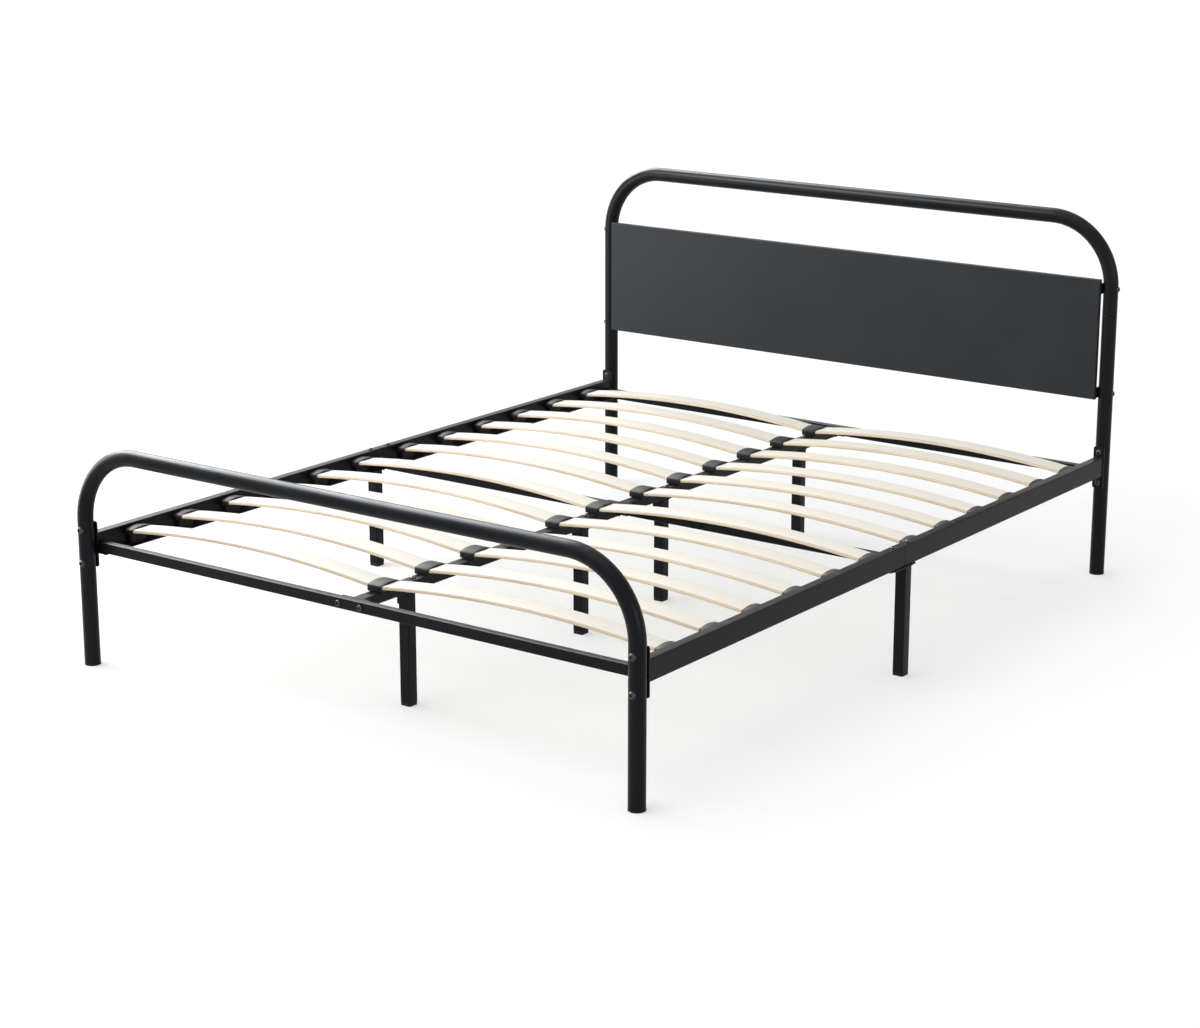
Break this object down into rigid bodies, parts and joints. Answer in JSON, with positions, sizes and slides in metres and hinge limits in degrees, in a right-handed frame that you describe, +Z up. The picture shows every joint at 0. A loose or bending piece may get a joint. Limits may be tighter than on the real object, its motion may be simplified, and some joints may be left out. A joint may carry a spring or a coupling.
{
  "type": "metal bed frame",
  "caption": "Slatted metal bed frame with a tall tube headboard with a sheet panel, a low tube footboard, side rails, a centre rail on legs and bowed wooden slats.",
  "frame": {"origin": "on the floor at the middle of the frame's overall length and width", "axes": "+Y from the foot to the head, +X to the right seen from the foot, +Z up"},
  "size_m": [1.6216, 2.1226, 0.9489],
  "materials": {
    "frame_metal": "matte charcoal black powder coat",
    "panel_metal": "matte charcoal powder coat on sheet steel",
    "slat_wood": "pale birch plywood, clear and satin",
    "black_plastic": "moulded black plastic",
    "black_bolts": "black oxide socket bolts, semi-gloss"
  },
  "bodies": {
    "root": {"centre_leg_1": "frame_metal", "centre_leg_2": "frame_metal", "centre_leg_3": "frame_metal", "centre_leg_4": "frame_metal", "centre_leg_bolts": "black_bolts", "centre_rail_foot": "frame_metal", "centre_rail_head": "frame_metal", "centre_slat_holders": "black_plastic", "corner_bolts": "black_bolts", "crossbar_bolts": "black_bolts", "foot_crossbar": "frame_metal", "foot_hoop": "frame_metal", "foot_post_left": "frame_metal", "foot_post_right": "frame_metal", "head_crossbar": "frame_metal", "head_hoop": "frame_metal", "head_panel": "panel_metal", "head_post_left": "frame_metal", "head_post_right": "frame_metal", "leg_foot_caps": "black_plastic", "mid_crossbar": "frame_metal", "panel_bolts": "black_bolts", "panel_brackets": "frame_metal", "post_foot_caps": "black_plastic", "rail_joiner_left": "frame_metal", "rail_joiner_right": "frame_metal", "rail_joint_bolts": "black_bolts", "side_leg_bolts": "black_bolts", "side_leg_left": "frame_metal", "side_leg_right": "frame_metal", "side_rail_foot_left": "frame_metal", "side_rail_foot_right": "frame_metal", "side_rail_head_left": "frame_metal", "side_rail_head_right": "frame_metal", "slat_end_caps_left": "black_plastic", "slat_end_caps_right": "black_plastic", "slat_left_01": "slat_wood", "slat_left_02": "slat_wood", "slat_left_03": "slat_wood", "slat_left_04": "slat_wood", "slat_left_05": "slat_wood", "slat_left_06": "slat_wood", "slat_left_07": "slat_wood", "slat_left_08": "slat_wood", "slat_left_09": "slat_wood", "slat_left_10": "slat_wood", "slat_left_11": "slat_wood", "slat_left_12": "slat_wood", "slat_right_01": "slat_wood", "slat_right_02": "slat_wood", "slat_right_03": "slat_wood", "slat_right_04": "slat_wood", "slat_right_05": "slat_wood", "slat_right_06": "slat_wood", "slat_right_07": "slat_wood", "slat_right_08": "slat_wood", "slat_right_09": "slat_wood", "slat_right_10": "slat_wood", "slat_right_11": "slat_wood", "slat_right_12": "slat_wood"}
  },
  "joints": []
}
